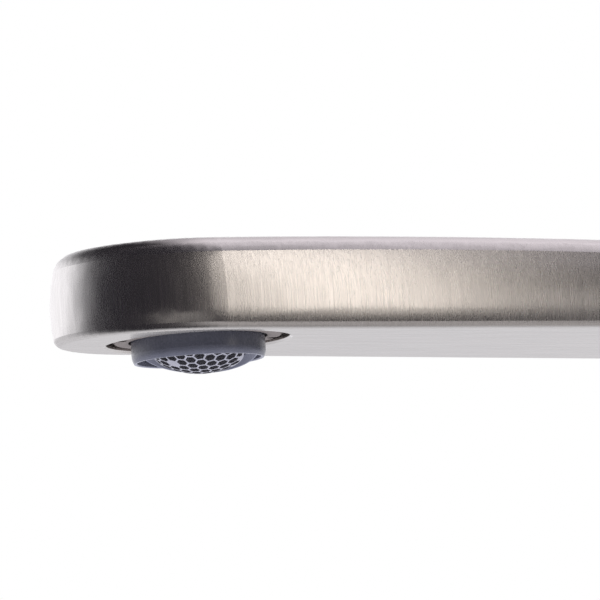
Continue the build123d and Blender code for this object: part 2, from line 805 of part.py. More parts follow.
hole_z = blade_underside + blade_top(grommet_back_y) / 2
plate_rim_y = -plate_gasket_thickness
sleeve_hole_radius = chamber_outer_radius + sleeve_hole_clearance
with BuildPart() as escutcheon_plate:
    with BuildSketch(facing_wall(plate_rim_y)):
        with Locations((plate_middle_x, 0)):
            SlotOverall(2 * plate_half_length, plate_height)
    extrude(amount=plate_depth - plate_gasket_thickness)
    fillet(escutcheon_plate.faces().sort_by(Axis.Y)[0].edges(), radius=plate_edge_radius)
    with BuildSketch(facing_wall(plate_rim_y)):
        with Locations((plate_middle_x, 0)):
            SlotOverall(2 * (plate_half_length - plate_wall), plate_height - 2 * plate_wall)
    extrude(amount=plate_depth - plate_gasket_thickness - plate_wall, mode=Mode.SUBTRACT)
    with BuildSketch(facing_wall(plate_rim_y)):
        with Locations((spout_x, hole_z)):
            add(blade_opening(blade_hole_clearance))
        with Locations((lever_x, 0)):
            Circle(sleeve_hole_radius)
    extrude(amount=plate_depth, mode=Mode.SUBTRACT)
escutcheon_plate.part.label = "escutcheon_plate"
export_step(escutcheon_plate.part, "parts/escutcheon_plate.step")

with BuildPart() as plate_gasket:
    with BuildSketch(facing_wall(0)):
        with Locations((plate_middle_x, 0)):
            outer_length = 2 * (plate_half_length - plate_gasket_inset)
            outer_height = plate_height - 2 * plate_gasket_inset
            SlotOverall(outer_length, outer_height)
            SlotOverall(
                outer_length - 2 * plate_gasket_width,
                outer_height - 2 * plate_gasket_width,
                mode=Mode.SUBTRACT,
            )
    extrude(amount=plate_gasket_thickness)
plate_gasket.part.label = "plate_gasket"
export_step(plate_gasket.part, "parts/plate_gasket.step")

# Rubber frame that centres the plate on the blade, behind the plate's front
with BuildPart() as spout_grommet:
    with BuildSketch(facing_wall(grommet_back_y)):
        with Locations((spout_x, hole_z)):
            add(blade_opening(grommet_gap + grommet_width))
            add(blade_opening(grommet_gap), mode=Mode.SUBTRACT)
    extrude(amount=grommet_thickness)
spout_grommet.part.label = "spout_grommet"
export_step(spout_grommet.part, "parts/spout_grommet.step")

# Cast valve body: cartridge chamber, two pipe inlets below, and a bridge to the spout's side
with BuildPart() as valve_body:
    with BuildSketch(facing_wall(body_back_y)):
        with Locations((lever_x, 0)):
            Rectangle(2 * body_half_width, 2 * body_half_height)
    extrude(amount=body_back_y - chamber_floor_y)
    with BuildSketch(facing_wall(body_back_y)):
        with Locations((spout_x, 0)):
            Rectangle(2 * outlet_block_half_width, 2 * body_half_height)
    extrude(amount=body_back_y - outlet_block_front_y)
    fillet(valve_body.edges().filter_by(Axis.Y), radius=body_edge_radius)
    with BuildSketch(facing_wall(chamber_floor_y + body_edge_radius)):
        with Locations((lever_x, 0)):
            Circle(chamber_outer_radius)
    extrude(amount=chamber_floor_y + body_edge_radius - chamber_front_y)
    with BuildSketch(Plane.XY.offset(inlet_end_z)):
        with Locations(*[(x, inlet_y) for x in inlet_centres]):
            Circle(inlet_boss_radius)
    extrude(amount=cross_bore_z - inlet_end_z)
    with BuildSketch(Plane(origin=(spout_x, 0, 0), x_dir=(0, 1, 0), z_dir=(1, 0, 0))):
        with Locations((bridge_y, bridge_z)):
            Circle(bridge_radius)
    extrude(amount=lever_x - spout_x)
    # Chamber for the cartridge, wider in front where the nut screws in
    with BuildSketch(facing_wall(chamber_floor_y)):
        with Locations((lever_x, 0)):
            Circle(chamber_bore_radius)
    extrude(amount=chamber_floor_y - chamber_front_y, mode=Mode.SUBTRACT)
    with BuildSketch(facing_wall(shoulder_front_y)):
        with Locations((lever_x, 0)):
            Circle(nut_thread_radius + thread_gap)
    extrude(amount=shoulder_front_y - chamber_front_y, mode=Mode.SUBTRACT)
    # Ports and peg holes in the chamber's floor
    with BuildSketch(facing_wall(cross_bore_y)):
        with Locations(*[(lever_x + x, z) for x, z in port_spots[:2]]):
            Circle(port_radius)
    extrude(amount=cross_bore_y - chamber_floor_y, mode=Mode.SUBTRACT)
    with BuildSketch(facing_wall(bridge_y)):
        with Locations((lever_x, outlet_port_z)):
            Circle(port_radius)
    extrude(amount=bridge_y - chamber_floor_y, mode=Mode.SUBTRACT)
    with BuildSketch(facing_wall(chamber_floor_y + locating_peg_length + axial_clearance)):
        with Locations(*[(lever_x + side * locating_peg_x, locating_peg_z) for side in (-1, 1)]):
            Circle(locating_peg_radius + thread_clearance)
    extrude(amount=locating_peg_length + axial_clearance, mode=Mode.SUBTRACT)
    # Water ways
    with BuildSketch(Plane.XY.offset(inlet_end_z)):
        with Locations(*[(x, inlet_y) for x in inlet_centres]):
            Circle(inlet_bore_radius)
    extrude(amount=inlet_bore_top_z - inlet_end_z, mode=Mode.SUBTRACT)
    with BuildSketch(Plane.XY.offset(inlet_end_z)):
        with Locations(*[(x, inlet_y) for x in inlet_centres]):
            Circle(pipe_thread_radius)
    extrude(amount=pipe_thread_depth, mode=Mode.SUBTRACT)
    for side, inlet_x in zip((-1, 1), inlet_centres):
        port_x = lever_x + side * inlet_port_x
        with BuildSketch(Plane(origin=(inlet_x, 0, 0), x_dir=(0, 1, 0), z_dir=(1, 0, 0))):
            with Locations((cross_bore_y, cross_bore_z)):
                Circle(cross_bore_radius)
        extrude(amount=port_x - inlet_x, mode=Mode.SUBTRACT)
    with BuildSketch(Plane(origin=(spout_x, 0, 0), x_dir=(0, 1, 0), z_dir=(1, 0, 0))):
        with Locations((bridge_y, bridge_z)):
            Circle(bridge_bore_radius)
    extrude(amount=lever_x + port_radius - spout_x, mode=Mode.SUBTRACT)
    with BuildSketch(facing_wall(outlet_bore_end_y)):
        with Locations((spout_x, 0)):
            Circle(outlet_bore_radius)
    extrude(amount=outlet_bore_end_y - outlet_block_front_y, mode=Mode.SUBTRACT)
    with BuildSketch(facing_wall(nipple_end_y + thread_runout)):
        with Locations((spout_x, 0)):
            Circle(pipe_thread_radius)
    extrude(amount=nipple_thread_length + thread_runout, mode=Mode.SUBTRACT)
    # Tapped holes for the screws through the bracket
    with BuildSketch(facing_wall(body_back_y)):
        with Locations(*body_screw_spots):
            Circle(body_screw_radius + thread_gap)
    extrude(amount=body_screw_length - bracket_thickness + thread_runout, mode=Mode.SUBTRACT)
valve_body.part.label = "valve_body"
export_step(valve_body.part, "parts/valve_body.step")

# Bracket behind the valve body, with four holes for screws into the wall
head_depth = body_screw_head_radius - body_screw_radius
with BuildPart() as mounting_bracket:
    with BuildSketch(facing_wall(bracket_back_y)):
        RectangleRounded(2 * bracket_half_width, 2 * bracket_half_height, bracket_corner_radius)
        with GridLocations(2 * wall_hole_half_width, 2 * wall_hole_half_height, 2, 2):
            Circle(wall_hole_radius, mode=Mode.SUBTRACT)
        with Locations(*body_screw_spots):
            Circle(body_screw_radius + thread_gap, mode=Mode.SUBTRACT)
    extrude(amount=bracket_thickness)
    with BuildSketch(facing_wall(bracket_back_y)):
        with Locations(*body_screw_spots):
            Circle(body_screw_head_radius + thread_gap)
    extrude(amount=head_depth, taper=45, mode=Mode.SUBTRACT)
mounting_bracket.part.label = "mounting_bracket"
export_step(mounting_bracket.part, "parts/mounting_bracket.step")

with BuildPart() as body_screws:
    with BuildSketch(facing_wall(bracket_back_y)):
        with Locations(*body_screw_spots):
            Circle(body_screw_radius)
    extrude(amount=body_screw_length)
    with BuildSketch(facing_wall(bracket_back_y)):
        with Locations(*body_screw_spots):
            Circle(body_screw_head_radius)
    extrude(amount=head_depth, taper=45)
    with BuildSketch(facing_wall(bracket_back_y)):
        with Locations(*body_screw_spots):
            RegularPolygon(body_screw_drive_radius, 6)
    extrude(amount=body_screw_drive_depth, mode=Mode.SUBTRACT)
body_screws.part.label = "body_screws"
export_step(body_screws.part, "parts/body_screws.step")

# Cartridge base, with seal grooves in both faces and two pegs
with BuildPart() as cartridge_base:
    with BuildSketch(facing_wall(chamber_floor_y)):
        with Locations((lever_x, 0)):
            Circle(cartridge_radius)
    extrude(amount=base_thickness)
    with BuildSketch(facing_wall(chamber_floor_y)):
        with Locations(*[(lever_x + x, z) for x, z in port_spots]):
            Circle(port_radius)
    extrude(amount=base_thickness, mode=Mode.SUBTRACT)
    for face_y in (chamber_floor_y, base_front_y + port_seal_depth):
        with BuildSketch(facing_wall(face_y)):
            with Locations(*[(lever_x + x, z) for x, z in port_spots]):
                Circle(port_radius + port_seal_width)
        extrude(amount=port_seal_depth, mode=Mode.SUBTRACT)
    with BuildSketch(facing_wall(chamber_floor_y + locating_peg_length)):
        with Locations(*[(lever_x + side * locating_peg_x, locating_peg_z) for side in (-1, 1)]):
            Circle(locating_peg_radius)
    extrude(amount=locating_peg_length)
cartridge_base.part.label = "cartridge_base"
export_step(cartridge_base.part, "parts/cartridge_base.step")


def port_rings(back_y):
    """Three flat rubber rings, one round each port."""
    with BuildPart() as rings:
        with BuildSketch(facing_wall(back_y)):
            with Locations(*[(lever_x + x, z) for x, z in port_spots]):
                Circle(port_radius + port_seal_width - groove_clearance)
                Circle(port_radius, mode=Mode.SUBTRACT)
        extrude(amount=port_seal_depth)
    return rings.part


with BuildPart() as base_seals:
    add(port_rings(chamber_floor_y))
base_seals.part.label = "base_seals"
export_step(base_seals.part, "parts/base_seals.step")

with BuildPart() as disc_seals:
    add(port_rings(base_front_y + port_seal_depth))
disc_seals.part.label = "disc_seals"
export_step(disc_seals.part, "parts/disc_seals.step")

# Ceramic discs: the fixed one has the three ports, the moving one the pocket that joins them
with BuildPart() as fixed_disc:
    with BuildSketch(facing_wall(base_front_y)):
        with Locations((lever_x, 0)):
            Circle(cartridge_bore_radius - disc_clearance)
        with Locations(*[(lever_x + x, z) for x, z in port_spots]):
            Circle(port_radius, mode=Mode.SUBTRACT)
    extrude(amount=fixed_disc_thickness)
fixed_disc.part.label = "fixed_disc"
export_step(fixed_disc.part, "parts/fixed_disc.step")

with BuildPart() as moving_disc:
    with BuildSketch(facing_wall(fixed_disc_front_y)):
        with Locations((lever_x, 0)):
            Circle(moving_disc_radius)
    extrude(amount=moving_disc_thickness)
    with BuildSketch(facing_wall(fixed_disc_front_y)):
        with Locations((lever_x, mixing_pocket_z)):
            Circle(mixing_pocket_radius)
    extrude(amount=mixing_pocket_depth, mode=Mode.SUBTRACT)
moving_disc.part.label = "moving_disc"
export_step(moving_disc.part, "parts/moving_disc.step")

# Carrier of the moving disc, with flats that slide between the rotor's rails
with BuildPart() as disc_carrier:
    with BuildSketch(facing_wall(moving_disc_front_y)):
        with Locations((lever_x, 0)):
            Circle(carrier_radius)
            Rectangle(2 * carrier_flat, 2 * carrier_radius, mode=Mode.INTERSECT)
            Circle(spindle_ball_radius + carrier_pocket_clearance, mode=Mode.SUBTRACT)
    extrude(amount=carrier_thickness)
disc_carrier.part.label = "disc_carrier"
export_step(disc_carrier.part, "parts/disc_carrier.step")

# Housing of the cartridge
with BuildPart() as cartridge_housing:
    add(
        turned_on_y(
            lever_x,
            (
                (base_front_y, cartridge_bore_radius),
                (base_front_y, cartridge_radius),
                (shoulder_front_y, cartridge_radius),
                (shoulder_front_y, housing_neck_radius),
                (housing_neck_end_y, housing_neck_radius),
                (housing_neck_end_y, rotor_neck_radius + running_clearance),
                (shoulder_back_y, rotor_neck_radius + running_clearance),
                (shoulder_back_y, cartridge_bore_radius),
            ),
        )
    )
cartridge_housing.part.label = "cartridge_housing"
export_step(cartridge_housing.part, "parts/cartridge_housing.step")

# Rotor: it turns with the lever, holds the spindle's pin and guides the carrier between two rails
rotor_radius = cartridge_bore_radius - disc_clearance
rail_centre_x = carrier_flat + running_clearance + rotor_rail_thickness / 2
rotor_ring_radius = rotor_neck_radius + running_clearance - seal_squeeze_gap - rotor_cord_radius
rotor_groove_half = rotor_cord_radius + groove_clearance
rotor_groove_radius = rotor_ring_radius - rotor_cord_radius - seal_squeeze_gap
with BuildPart() as spindle_rotor:
    with BuildSketch(facing_wall(rotor_flange_back_y)):
        with Locations((lever_x, 0)):
            Circle(rotor_radius)
    extrude(amount=rotor_flange_thickness)
    with BuildSketch(facing_wall(rotor_flange_front_y)):
        with Locations((lever_x, 0)):
            Circle(rotor_neck_radius)
    extrude(amount=rotor_flange_front_y - rotor_neck_end_y)
    with BuildSketch(facing_wall(moving_disc_front_y - axial_clearance)):
        with Locations(*[(lever_x + side * rail_centre_x, 0) for side in (-1, 1)]):
            Rectangle(rotor_rail_thickness, 2 * rotor_rail_half_length)
    extrude(amount=moving_disc_front_y - axial_clearance - rotor_flange_back_y)
    with BuildSketch(facing_wall(rotor_flange_back_y)):
        with Locations((lever_x, 0)):
            Rectangle(rotor_slot_width, rotor_slot_length)
    extrude(amount=rotor_flange_back_y - rotor_neck_end_y, mode=Mode.SUBTRACT)
    with BuildSketch(facing_wall(rotor_ring_y + rotor_groove_half)):
        with Locations((lever_x, 0)):
            Circle(rotor_neck_radius + cut_past)
            Circle(rotor_groove_radius, mode=Mode.SUBTRACT)
    extrude(amount=2 * rotor_groove_half, mode=Mode.SUBTRACT)
    with BuildSketch(Plane(origin=(lever_x, lever_pivot_y, 0), x_dir=(0, 1, 0), z_dir=(1, 0, 0))):
        Circle(pin_radius + pin_press_gap)
    extrude(amount=rotor_neck_radius + cut_past, both=True, mode=Mode.SUBTRACT)
spindle_rotor.part.label = "spindle_rotor"
export_step(spindle_rotor.part, "parts/spindle_rotor.step")

with BuildPart() as rotor_o_ring:
    add(ring_on_y(lever_x, rotor_ring_y, rotor_ring_radius, rotor_cord_radius))
rotor_o_ring.part.label = "rotor_o_ring"
export_step(rotor_o_ring.part, "parts/rotor_o_ring.step")

with BuildPart() as spindle_pin:
    with BuildSketch(Plane(origin=(lever_x, lever_pivot_y, 0), x_dir=(0, 1, 0), z_dir=(1, 0, 0))):
        Circle(pin_radius)
    extrude(amount=pin_half_length, both=True)
spindle_pin.part.label = "spindle_pin"
export_step(spindle_pin.part, "parts/spindle_pin.step")

# Spindle: square stem, barrel round the pin, and a thin arm with a ball that moves the carrier
with BuildPart() as spindle:
    with BuildSketch(facing_wall(lever_pivot_y)):
        with Locations((lever_x, 0)):
            Rectangle(spindle_square, spindle_square)
    extrude(amount=lever_pivot_y - spindle_end_y)
    with BuildSketch(Plane(origin=(lever_x, lever_pivot_y, 0), x_dir=(0, 1, 0), z_dir=(1, 0, 0))):
        Circle(spindle_barrel_radius)
    extrude(amount=spindle_square / 2, both=True)
    with BuildSketch(facing_wall(spindle_ball_y)):
        with Locations((lever_x, 0)):
            Circle(spindle_neck_radius)
    extrude(amount=spindle_arm)
    with Locations((lever_x, spindle_ball_y, 0)):
        Sphere(spindle_ball_radius)
    with BuildSketch(Plane(origin=(lever_x, lever_pivot_y, 0), x_dir=(0, 1, 0), z_dir=(1, 0, 0))):
        Circle(pin_radius + pin_clearance)
    extrude(amount=spindle_square, both=True, mode=Mode.SUBTRACT)
spindle.part.label = "spindle"
export_step(spindle.part, "parts/spindle.step")

# Nut that clamps the cartridge
with BuildPart() as cartridge_nut:
    add(
        turned_on_y(
            lever_x,
            (
                (shoulder_front_y, housing_neck_radius + disc_clearance),
                (shoulder_front_y, nut_thread_radius),
                (nut_end_y, nut_thread_radius),
                (nut_end_y, housing_neck_radius + disc_clearance),
            ),
        )
    )
    with BuildSketch(facing_wall(nut_end_y + nut_slot_depth)):
        with Locations((lever_x, 0)):
            with PolarLocations(nut_thread_radius, nut_slot_count):
                Rectangle(nut_thread_radius - housing_neck_radius, nut_slot_width)
    extrude(amount=nut_slot_depth, mode=Mode.SUBTRACT)
cartridge_nut.part.label = "cartridge_nut"
export_step(cartridge_nut.part, "parts/cartridge_nut.step")

# Trim sleeve: a flange on the plate, a short wall and a dome about the lever's pivot
sleeve_back_y = plate_front_y - sleeve_plate_gap
sleeve_bore = sleeve_radius - sleeve_wall
dome_inner_radius = sleeve_dome_radius - sleeve_dome_wall
dome_start = lever_pivot_y - dome_start_ahead
dome_end = lever_pivot_y - sqrt(sleeve_dome_radius**2 - sleeve_opening_radius**2)
inner_start = lever_pivot_y - sqrt(dome_inner_radius**2 - sleeve_bore**2)
inner_end = lever_pivot_y - sqrt(dome_inner_radius**2 - sleeve_opening_radius**2)
sleeve_ring_radius = (sleeve_bore + sleeve_flange_radius) / 2
with BuildPart() as trim_sleeve:
    with BuildSketch(side_section(lever_x)):
        with BuildLine():
            outside = Polyline(
                (sleeve_back_y, sleeve_bore),
                (sleeve_back_y, sleeve_flange_radius),
                (sleeve_back_y - sleeve_flange_thickness, sleeve_flange_radius),
                (sleeve_back_y - sleeve_flange_thickness, sleeve_radius),
                (dome_start, sleeve_radius),
            )
            dome = RadiusArc(outside @ 1, (dome_end, sleeve_opening_radius), sleeve_dome_radius)
            lip = Line(dome @ 1, (inner_end, sleeve_opening_radius))
            inner_dome = RadiusArc(lip @ 1, (inner_start, sleeve_bore), -dome_inner_radius)
            Line(inner_dome @ 1, outside @ 0)
        make_face()
    revolve(axis=cartridge_axis)
    with BuildSketch(side_section(lever_x)):
        with Locations((sleeve_back_y - sleeve_cord_radius, sleeve_ring_radius)):
            Rectangle(2 * sleeve_cord_radius, 2 * (sleeve_cord_radius + groove_clearance))
    revolve(axis=cartridge_axis, mode=Mode.SUBTRACT)
trim_sleeve.part.label = "trim_sleeve"
export_step(trim_sleeve.part, "parts/trim_sleeve.step")

with BuildPart() as sleeve_o_ring:
    ring_y = plate_front_y - sleeve_cord_radius
    add(ring_on_y(lever_x, ring_y, sleeve_ring_radius, sleeve_cord_radius - seal_squeeze_gap))
sleeve_o_ring.part.label = "sleeve_o_ring"
export_step(sleeve_o_ring.part, "parts/sleeve_o_ring.step")

# Lever: a round hub, hollow behind to clear the dome, and a flat blade that hangs from it
socket_half = spindle_square / 2 + hub_socket_clearance
lever_plane = Plane(
    origin=(lever_x, lever_blade_y, 0),
    x_dir=(1, 0, 0),
    z_dir=(0, -cos(radians(lever_rake)), sin(radians(lever_rake))),
)
with BuildPart() as lever_blade:
    with BuildSketch(lever_plane.offset(-lever_thickness / 2)):
        with BuildLine():
            end_y = -lever_length + lever_end_half_width
            rounding = ThreePointArc(
                (-lever_end_half_width, end_y), (0, -lever_length), (lever_end_half_width, end_y)
            )
            Polyline(
                rounding @ 1,
                (lever_root_half_width, lever_start_z),
                (-lever_root_half_width, lever_start_z),
                rounding @ 0,
            )
        make_face()
    extrude(amount=lever_thickness)
    broad_faces = lever_blade.faces().sort_by(Axis(lever_plane.origin, lever_plane.z_dir))
    rims = broad_faces[0].edges() + broad_faces[-1].edges()
    outer_rims = [edge for edge in rims if edge.center().Z < lever_start_z - lever_edge_radius]
    fillet(outer_rims, radius=lever_edge_radius)

with BuildPart() as lever_handle:
    with BuildSketch(facing_wall(hub_back_y)):
        with Locations((lever_x, 0)):
            Circle(hub_radius)
    extrude(amount=hub_back_y - hub_front_y)
    fillet(lever_handle.faces().sort_by(Axis.Y)[0].edges(), radius=hub_edge_radius)
    add(lever_blade.part)
    with Locations((lever_x, lever_pivot_y, 0)):
        Sphere(hub_hollow_radius, mode=Mode.SUBTRACT)
    with BuildSketch(facing_wall(hub_socket_back_y)):
        with Locations((lever_x, 0)):
            Circle(socket_half + hub_socket_wall)
    extrude(amount=hub_socket_back_y - (hub_front_y + hub_edge_radius))
    with BuildSketch(facing_wall(hub_socket_back_y)):
        with Locations((lever_x, 0)):
            Rectangle(2 * socket_half, 2 * socket_half)
    extrude(amount=hub_socket_back_y - spindle_end_y + axial_clearance, mode=Mode.SUBTRACT)
    with BuildSketch(Plane(origin=(lever_x, lever_screw_y, 0))):
        Circle(set_screw_radius + set_screw_clearance)
    extrude(amount=hub_radius + cut_past, mode=Mode.SUBTRACT)
    with BuildSketch(Plane(origin=(lever_x, lever_screw_y, hub_radius + cut_past))):
        Circle(plug_radius + plug_gap)
    extrude(amount=-(plug_depth + cut_past), mode=Mode.SUBTRACT)
lever_handle.part.label = "lever_handle"
export_step(lever_handle.part, "parts/lever_handle.step")

with BuildPart() as lever_set_screw:
    screw_plane = Plane(origin=(lever_x, lever_screw_y, spindle_square / 2 + seal_squeeze_gap))
    with BuildSketch(screw_plane):
        Circle(set_screw_radius)
    extrude(amount=lever_screw_length)
    with BuildSketch(screw_plane.offset(lever_screw_length)):
        RegularPolygon(set_screw_key_radius, 6)
    extrude(amount=-set_screw_key_depth, mode=Mode.SUBTRACT)
lever_set_screw.part.label = "lever_set_screw"
export_step(lever_set_screw.part, "parts/lever_set_screw.step")

with BuildPart() as lever_plug:
    with BuildSketch(Plane(origin=(lever_x, lever_screw_y, hub_radius - plug_depth))):
        Circle(plug_radius)
    extrude(amount=plug_depth + cut_past)
    with BuildSketch(facing_wall(hub_back_y)):
        with Locations((lever_x, 0)):
            Circle(hub_radius)
    extrude(amount=hub_back_y - hub_front_y, mode=Mode.INTERSECT)
lever_plug.part.label = "lever_plug"
export_step(lever_plug.part, "parts/lever_plug.step")
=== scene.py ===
import json
from math import cos, radians, sin

import bpy
from mathutils import Matrix, Vector


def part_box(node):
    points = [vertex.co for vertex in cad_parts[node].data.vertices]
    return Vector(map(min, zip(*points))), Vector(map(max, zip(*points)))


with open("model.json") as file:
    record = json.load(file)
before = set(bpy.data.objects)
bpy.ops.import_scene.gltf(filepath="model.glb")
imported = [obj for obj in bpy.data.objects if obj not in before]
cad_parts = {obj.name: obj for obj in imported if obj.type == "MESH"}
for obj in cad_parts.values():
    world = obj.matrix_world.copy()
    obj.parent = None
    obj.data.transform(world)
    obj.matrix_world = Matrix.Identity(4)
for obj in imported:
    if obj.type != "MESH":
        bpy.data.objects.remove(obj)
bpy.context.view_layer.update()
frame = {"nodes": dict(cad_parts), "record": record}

# Camera, read from the photograph: to the right of the spout's tip, a little below it, through a long lens
camera_place = Vector((0.3875, -0.4313, -0.0620))
camera_yaw = 32.56
camera_rise = 6.78
camera_roll = 3.78
camera_lens = 226.4
camera_clip = 0.01

floor_height = -0.125
floor_size = 6.0

# Nearly all values of a noise pattern lie between these
noise_span = (0.3, 0.7)

# Brushed nickel: fine strokes, as noise cycles in a metre across them and along them. The grain turns from
# the one of upright faces to the one of level faces where a face's normal points this far up or down.
nickel_tint = (0.84, 0.81, 0.79)
nickel_roughness = 0.26
nickel_anisotropy = 0.85
side_grain = (0, 0, 1)
flat_grain = (0, 1, 0)
grain_turn = (0.6, 0.8)
strokes_across = 5000.0
strokes_along = 90.0
wide_stroke_share = 0.35
wide_stroke_height = 0.6
stroke_bump = 0.015
stroke_depth = 0.000004

# Moulded surfaces
speckle_scale = 2500.0
speckle_depth = 0.00001
floor_speckle_scale = 400.0
roughness_change = 0.05

# What the spout and its metal mirror. An edge says how nearly a direction points the named way, as a cosine,
# where that way's colour starts and where it is full.
backdrop_way, backdrop_edge = (-0.966, 0.259, 0.0), (-0.12, 0.66)
wall_way, wall_edge = (-0.26, 0.966, 0.0), (0.75, 0.95)
right_way, right_edge = (0.5, 0.866, 0.0), (0.25, 0.65)
panel_way, panel_edge = (0.0, 0.75, 0.66), (0.68, 0.93)
# The same for straight up: the backdrop's top, its floor line, and the top of the grey floor to the right
backdrop_top = (0.35, 0.75)
floor_line = (-0.11, -0.02)
right_floor_top = (-0.4, -0.15)
floor_share = 0.58
dark_room = (0.022, 0.02, 0.025, 1)
backdrop_white = (1.25, 1.25, 1.3, 1)
wall_white = (0.8, 0.8, 0.83, 1)
right_floor_grey = (0.42, 0.4, 0.4, 1)
panel_white = (0.85, 0.8, 0.86, 1)
seen_white = (1, 1, 1, 1)

# Colours and strengths of the lights
warm = (1.0, 0.93, 0.85)
pale_warm = (1.0, 0.95, 0.9)
soft_white = (1.0, 0.99, 0.97)
cool = (0.93, 0.94, 1.0)
sun_strength = 2.2
sun_spread = 60
fill_size = 0.9
fill_power = 2.2

# Pieces whose front stays behind this are at the wall. The spout and its outlet reach further forward.
wall_reach = -0.1


class Tree:
    """Adds nodes to one node tree and links them by name."""

    def __init__(self, tree):
        self.tree = tree
        self.tree.nodes.clear()

    def add(self, kind, inputs=None, **settings):
        made = self.tree.nodes.new(kind)
        for key, value in settings.items():
            setattr(made, key, value)
        for key, value in (inputs or {}).items():
            self.put(made, key, value)
        return made

    def put(self, node, key, value):
        if isinstance(value, bpy.types.NodeSocket):
            self.tree.links.new(value, node.inputs[key])
        else:
            node.inputs[key].default_value = value

    def math(self, operation, first, second=0.0):
        made = self.add("ShaderNodeMath", operation=operation)
        self.put(made, 0, first)
        self.put(made, 1, second)
        return made.outputs[0]

    def vector(self, operation, first, second=(0.0, 0.0, 0.0)):
        made = self.add("ShaderNodeVectorMath", operation=operation)
        self.put(made, 0, first)
        self.put(made, 1, second)
        return made.outputs["Value"] if operation == "DOT_PRODUCT" else made.outputs["Vector"]

    def stretch(self, value, low, high, to_low=0.0, to_high=1.0):
        """Maps low to to_low and high to to_high, smoothly, and holds the ends."""
        made = self.add("ShaderNodeMapRange", interpolation_type="SMOOTHSTEP")
        for key, item in zip(("Value", "From Min", "From Max", "To Min", "To Max"),
                             (value, low, high, to_low, to_high)):
            self.put(made, key, item)
        return made.outputs["Result"]

    def mix(self, kind, share, first, second):
        """Mixes two values of the kind FLOAT, VECTOR or RGBA."""
        start, result = {"FLOAT": (2, 0), "VECTOR": (4, 1), "RGBA": (6, 2)}[kind]
        made = self.add("ShaderNodeMix", data_type=kind)
        self.put(made, "Factor", share)
        self.put(made, start, first)
        self.put(made, start + 1, second)
        return made.outputs[result]

    def noise(self, place, scale, detail):
        made = self.add("ShaderNodeTexNoise", inputs={"Scale": scale, "Detail": detail, "Vector": place})
        return made.outputs["Fac"]

    def tinted(self, pattern, tint, darker, lighter):
        """A colour that wanders round tint with a pattern."""
        return self.mix("RGBA", self.stretch(pattern, *noise_span),
                        [channel * darker for channel in tint] + [1],
                        [min(1, channel * lighter) for channel in tint] + [1])


def new_material(name):
    material = bpy.data.materials.new(name)
    material.use_nodes = True
    return material, Tree(material.node_tree)


def brushed_metal(name, tint):
    """Metal with a fine brushed grain: one direction on upright faces, another on level ones."""
    material, tree = new_material(name)
    place = tree.add("ShaderNodeTexCoord").outputs["Object"]
    normal = tree.add("ShaderNodeNewGeometry").outputs["Normal"]
    level = tree.math("ABSOLUTE", tree.vector("DOT_PRODUCT", normal, (0, 0, 1)))
    level = tree.stretch(level, *grain_turn)
    grain = tree.mix("VECTOR", level, side_grain, flat_grain)

    def strokes(fineness, detail):
        patterns = []
        for way in (side_grain, flat_grain):
            size = [strokes_along if axis else strokes_across * fineness for axis in way]
            patterns.append(tree.noise(tree.vector("MULTIPLY", place, size), scale=1.0, detail=detail))
        return tree.mix("FLOAT", level, *patterns)

    fine = strokes(fineness=1.0, detail=3.0)
    wide = strokes(fineness=wide_stroke_share, detail=2.0)
    height = tree.math("ADD", fine, tree.math("MULTIPLY", wide, wide_stroke_height))
    bumped = tree.add("ShaderNodeBump", inputs={"Strength": stroke_bump, "Distance": stroke_depth,
                                                "Height": height})
    shader = tree.add("ShaderNodeBsdfPrincipled", inputs={
        "Base Color": tree.tinted(wide, tint, darker=0.95, lighter=1.03),
        "Metallic": 1.0,
        "Anisotropic": nickel_anisotropy,
        "Roughness": tree.stretch(fine, *noise_span, nickel_roughness - 0.015, nickel_roughness + 0.02),
        "Normal": bumped.outputs["Normal"],
        "Tangent": tree.vector("NORMALIZE", tree.vector("CROSS_PRODUCT", normal, grain)),
    })
    tree.put(tree.add("ShaderNodeOutputMaterial"), "Surface", shader.outputs[0])
    return material


def moulded(name, tint, roughness=0.4, speckle=speckle_scale, bump=0.1, metallic=0.0, specular=0.5):
    """Moulded plastic, rubber or cast metal: a faint even grain and a little cloudiness."""
    material, tree = new_material(name)
    place = tree.add("ShaderNodeTexCoord").outputs["Object"]
    fine = tree.noise(place, scale=speckle, detail=3.0)
    cloud = tree.noise(place, scale=speckle / 4, detail=2.0)
    bumped = tree.add("ShaderNodeBump", inputs={"Strength": bump, "Distance": speckle_depth, "Height": fine})
    shader = tree.add("ShaderNodeBsdfPrincipled", inputs={
        "Base Color": tree.tinted(cloud, tint, darker=0.96, lighter=1.03),
        "Metallic": metallic,
        "Specular IOR Level": specular,
        "Roughness": tree.stretch(fine, *noise_span,
                                  roughness - roughness_change, roughness + roughness_change),
        "Normal": bumped.outputs["Normal"],
    })
    tree.put(tree.add("ShaderNodeOutputMaterial"), "Surface", shader.outputs[0])
    return material


